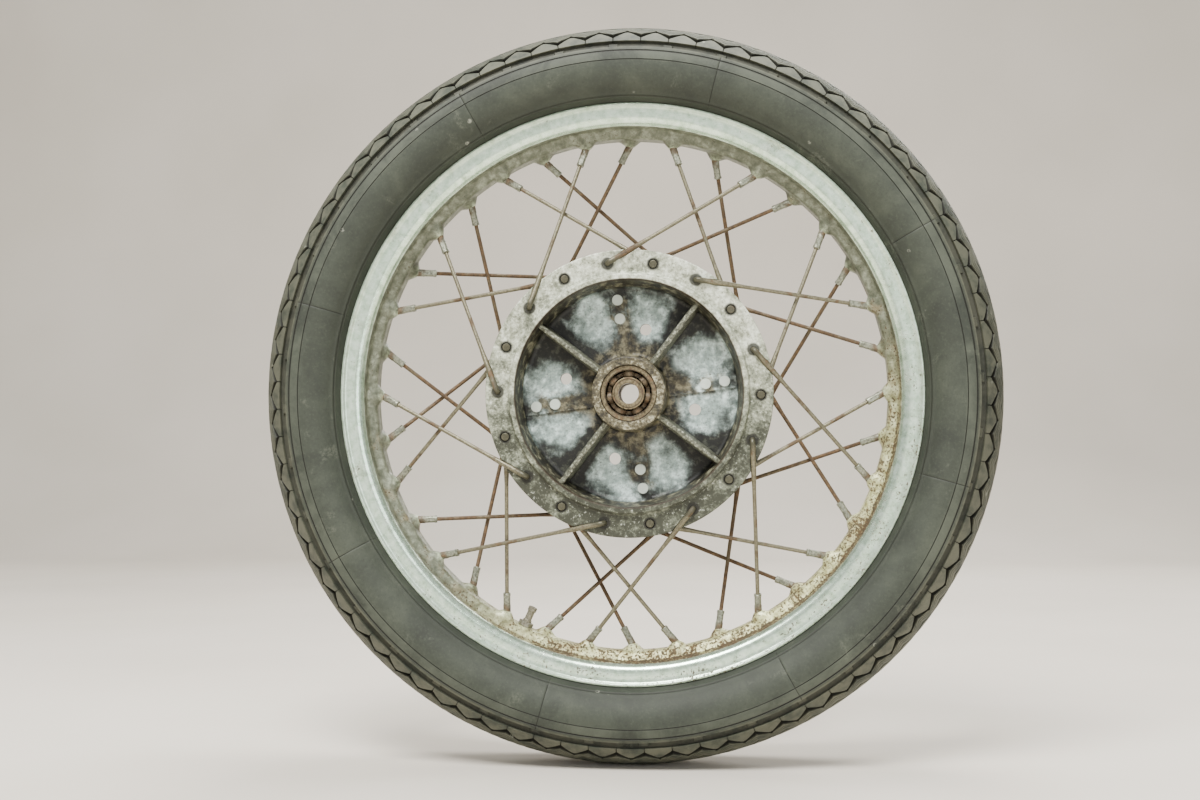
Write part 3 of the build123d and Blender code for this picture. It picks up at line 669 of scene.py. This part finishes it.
def tread_rows(side, share):
    """Rows from the crown to a shoulder: radius, y and how dark the painted dirt and shade in them is, 0 to 1."""
    away = np.minimum(share, 1 - share)
    straight = 2 * away
    rounded = 0.5 - 0.5 * np.cos(2 * np.pi * share)
    from_apex = (0.5 - away) * math.radians(360 / PITCHES) * CROWN_R
    pit = np.maximum(np.sqrt(np.maximum(PIT_R**2 - from_apex**2, 0)) - GROOVE_HALF, 0)
    for bottom, apex, depth, shape in TREAD_ROWS:
        s = bottom + (apex - bottom) * (rounded if shape == "U" else straight)
        s = s + {"-": -pit, "+": pit}.get(shape, 0)
        sunk = np.full_like(s, depth)
        if bottom >= NOTCH_FROM:
            sunk = np.where(away < AT_APEX, NOTCH_DEPTH, sunk)
        turn = s / TREAD_ARC_R
        reach = TREAD_ARC_R - sunk
        yield TREAD_CENTRE_R + reach * np.cos(turn), side * reach * np.sin(turn), np.minimum(sunk / DARK_DEPTH, 1)


def shoulder_rows(side, share, pitch):
    """The tread's edge, the groove below it and the small tabs in it at every second V."""
    away = np.minimum(share, 1 - share)
    tab = (away < TAB_HALF) & (np.round(pitch + share).astype(int) % TAB_EVERY == 0)
    cut = np.where(away < AT_APEX, EDGE_CUT, 0.0)
    yield TREAD_EDGE[0] - cut * 0.5, side * (TREAD_EDGE[1] - cut), cut
    for r, plain_y, tab_y, plain_dark, tab_dark in SHOULDER_ROWS:
        yield level(r, share), side * np.where(tab, tab_y, plain_y), np.where(tab, tab_dark, plain_dark)


def side_rows(side, share, pitch):
    """The sidewall with its fine moulded lines and the radial mould seams."""
    centre, radius = circle_through(*SIDE_ARC)
    seam = (share < AT_APEX) & (pitch % SEAM_PITCHES == 0)
    for r, raised in SIDE_ROWS:
        y = centre[1] + math.sqrt(radius**2 - (r - centre[0]) ** 2)
        normal = np.array([r - centre[0], y - centre[1]]) / radius
        cut = seam & (raised == 0)
        lift = raised - np.where(cut, SEAM_CUT, 0.0)
        between = BETWEEN_LINES[0] < r < BETWEEN_LINES[1]
        dark = np.where(cut, SEAM_DARK, LINE_DARK if raised < 0 else GAP_DARK if between else 0.0)
        yield r + normal[0] * lift, side * (y + normal[1] * lift), dark
    for r, y in BEAD:
        yield level(r, share), side * level(y, share), level(0.0, share)


def make_tyre():
    """The tyre with its tread, both shoulders, both sidewalls and the plain casing inside."""
    shares = np.tile(COLUMN_SHARES, PITCHES)
    pitch = np.repeat(np.arange(PITCHES), len(COLUMN_SHARES))
    angles = FIRST_V + (pitch + shares) * 360 / PITCHES
    front, rear = [
        [*tread_rows(side, tread), *shoulder_rows(side, shares, pitch), *side_rows(side, shares, pitch)]
        for side, tread in ((-1, shares), (1, (shares + 0.5) % 1))
    ]
    inner = [[(level(r, shares), level(side * y, shares), 0 * shares) for r, y in CASING] for side in (-1, 1)]
    loop = [*reversed(rear), *front, *inner[0], *reversed(inner[1])]
    tyre = swept("tyre_moulded", angles, [(r, y) for r, y, _ in loop])
    # The depth attribute holds how dark the painted dirt and shade is at each point.
    attribute(tyre, "depth", np.stack([dark for _, _, dark in loop]))
    return tyre


# ---------------------------------------------------------------- rim

DIMPLES = 36
DIMPLE_FIRST, DIMPLE_STEP = 0.3, 10.0
DIMPLE_COLUMNS = (0, 0.3, 0.6, 0.9, 1.2, 1.5, 1.8, 2.1, 2.5, 3.0, 3.8)
BETWEEN_DIMPLES = 5.0
DIMPLE_FOOT, DIMPLE_RISE, DIMPLE_SKEW, DIMPLE_POWER = 9.8, 6.0, 0.28, 1.6
DIMPLE_REACH_Y = 13
NIPPLE_Y = 4.2
NIPPLE_RUST, NIPPLE_RUST_FADE = 3.6, 3.0
WELL_R = 216.5
# Each family of nine: side, whether its heads are outside the flange, and the angle of its first one
FAMILIES = ((-1, False, 0), (-1, True, 20), (1, False, 10), (1, True, 30))
FAMILY_PITCH, LEAN_ANGLE = 40, 40
# Hub side of the section from the centre to the lip, then the tyre side back
RIM_OUTSIDE = (
    (216.5, 0), (216.5, 1.2), (216.5, 2.4), (216.5, 3.6), (216.5, 4.8), (216.5, 6.0), (216.6, 7.2), (217.0, 8.3),
    (217.9, 9.4), (219.2, 10.2), (220.6, 10.9), (222.0, 11.6), (223.2, 12.2), (224.1, 13.0), (224.6, 14.2),
    (224.75, 15.6), (224.95, 17.6), (225.4, 19.6), (226.1, 21.4), (227.0, 22.8), (228.1, 23.9), (229.5, 24.8),
    (231.2, 25.4), (233.4, 25.75), (237.0, 25.75), (239.6, 25.85), (240.8, 26.4), (241.6, 27.4), (242.3, 27.85),
    (243.1, 27.75), (243.8, 27.3), (244.0, 26.8), (243.7, 26.3),
)
RIM_INSIDE = (
    (242.0, 24.6), (240.6, 23.6), (230.0, 23.5), (228.3, 22.8), (227.2, 13.0), (226.4, 11.8), (219.2, 8.0),
    (218.7, 6.8),
)


def spoke_at(angle):
    """Which flange the dimple at that angle serves, and which way its spoke leans."""
    place = round((angle - DIMPLE_FIRST) / DIMPLE_STEP) * int(DIMPLE_STEP) % 360
    for side, outer, turn in FAMILIES:
        lean = 1 if (side < 0) != outer else -1
        if (place - lean * LEAN_ANGLE - turn) % FAMILY_PITCH == 0:
            return side, lean
    raise ValueError(angle)


def make_rim():
    """The rim with a smooth dome pressed into its well for each nipple, leaning with its spoke."""
    offsets = sorted({*DIMPLE_COLUMNS, *(-c for c in DIMPLE_COLUMNS[1:]), BETWEEN_DIMPLES})
    angles = np.concatenate([DIMPLE_FIRST + DIMPLE_STEP * k + np.array(offsets) for k in range(DIMPLES)])
    nearest = np.round((angles - DIMPLE_FIRST) / DIMPLE_STEP) * DIMPLE_STEP + DIMPLE_FIRST
    sides, leans = np.array([spoke_at(a) for a in nearest], float).T
    across = np.radians(angles - nearest) * WELL_R
    outside = [(r, y, -1) for r, y in reversed(RIM_OUTSIDE)] + [(r, y, 1) for r, y in RIM_OUTSIDE[1:]]
    rows, rust = [], []
    for r, y, side in outside:
        away = np.hypot(across, side * y - sides * NIPPLE_Y)
        dome = np.clip(1 - (away / DIMPLE_FOOT) ** 2, 0, 1) ** DIMPLE_POWER
        skew = 1 + DIMPLE_SKEW * across * leans / DIMPLE_FOOT
        rise = DIMPLE_RISE * dome * skew if y < DIMPLE_REACH_Y else 0.0
        rows.append((level(r - rise, across), level(side * y, across)))
        rust.append(np.clip(1 - np.maximum(away - NIPPLE_RUST, 0) / NIPPLE_RUST_FADE, 0, 1))
    for r, y in [*RIM_INSIDE, *((r, -y) for r, y in reversed(RIM_INSIDE))]:
        rows.append((level(r, across), level(y, across)))
        rust.append(level(0.0, across))
    rim = swept("rim_rolled", angles, rows)
    attribute(rim, "rust", np.stack(rust))
    return rim


# ---------------------------------------------------------------- the wheel

tyre = make_tyre()
rim = make_rim()
for made, node, slot in ((tyre, "tyre", "tyre"), (rim, "rim", "rim_chrome")):
    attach(made, "wheel")
    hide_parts(node)

tyre.data.materials.append(tyre_finish())
rim.data.materials.append(rim_finish())

# Dark bands on the bearing races, where its rings meet.
RACE_DARK_RINGS = ((11.4, 12.2), (18.9, 19.9), (22.7, 23.6))
# Node or part of its name: finish, dark, light, roughness, metallic, rust, grain in mm, seed
METALS = {
    "brake_liner": ("liner_finish", (104, 98, 88), (152, 146, 134), 0.38, 0.6, 0.16, 5, 76),
    "bearing_spacer": ("spacer_finish", (74, 60, 44), (120, 104, 80), 0.5, 0.4, 0.3, 3, 79),
    "bearing_retainer": ("retainer_finish", (96, 90, 78), (150, 144, 128), 0.42, 0.6, 0.18, 2.4, 82),
    "valve_stem": ("valve_finish", (96, 92, 76), (156, 152, 134), 0.45, 0.5, 0.1, 1.6, 87),
    "valve_nut": ("nut_finish", (104, 102, 90), (158, 156, 142), 0.45, 0.5, 0.14, 1.6, 89),
    "valve_core": ("core_finish", (140, 116, 62), (186, 160, 96), 0.35, 0.8, 0.02, 1.2, 92),
    "valve_pin": ("pin_finish", (150, 126, 70), (194, 168, 104), 0.3, 0.8, 0.02, 1.2, 94),
    "_balls": ("ball_finish", (66, 58, 42), (138, 128, 104), 0.3, 0.5, 0.16, 3, 61),
    "_race": ("race_finish", (70, 62, 44), (150, 138, 108), 0.35, 0.4, 0.24, 2.2, 64, RACE_DARK_RINGS),
    "_cage": ("cage_finish", (60, 50, 38), (108, 94, 72), 0.5, 0.4, 0.24, 1.8, 67),
}
# The same for rubber: finish, dark, light, seed
RUBBERS = {
    "inner_tube": ("tube_finish", (30, 30, 30), (52, 52, 50), 71),
    "rim_band": ("band_finish", (40, 38, 34), (66, 62, 54), 73),
    "dust_seal": ("seal_finish", (26, 25, 24), (50, 47, 42), 85),
}
FINISHES = {
    "hub_shell": hub_finish(),
    "_nipples": nipple_finish(),
    "spoke_front": spoke_finish("front_spoke_finish", srgb(86, 82, 64), srgb(136, 130, 106), 0.20, 31),
    "spoke_rear": spoke_finish("rear_spoke_finish", srgb(74, 64, 46), srgb(116, 102, 78), 0.36, 36),
}
for make, table in ((worn_metal, METALS), (rubber, RUBBERS)):
    for key, (name, dark, light, *numbers) in table.items():
        FINISHES[key] = make(name, srgb(*dark), srgb(*light), *numbers)
for node, obj in NODES.items():
    for key, finish in FINISHES.items():
        if key in node:
            obj.data.materials.clear()
            obj.data.materials.append(finish)

set_camera()
set_stage(floor_finish())
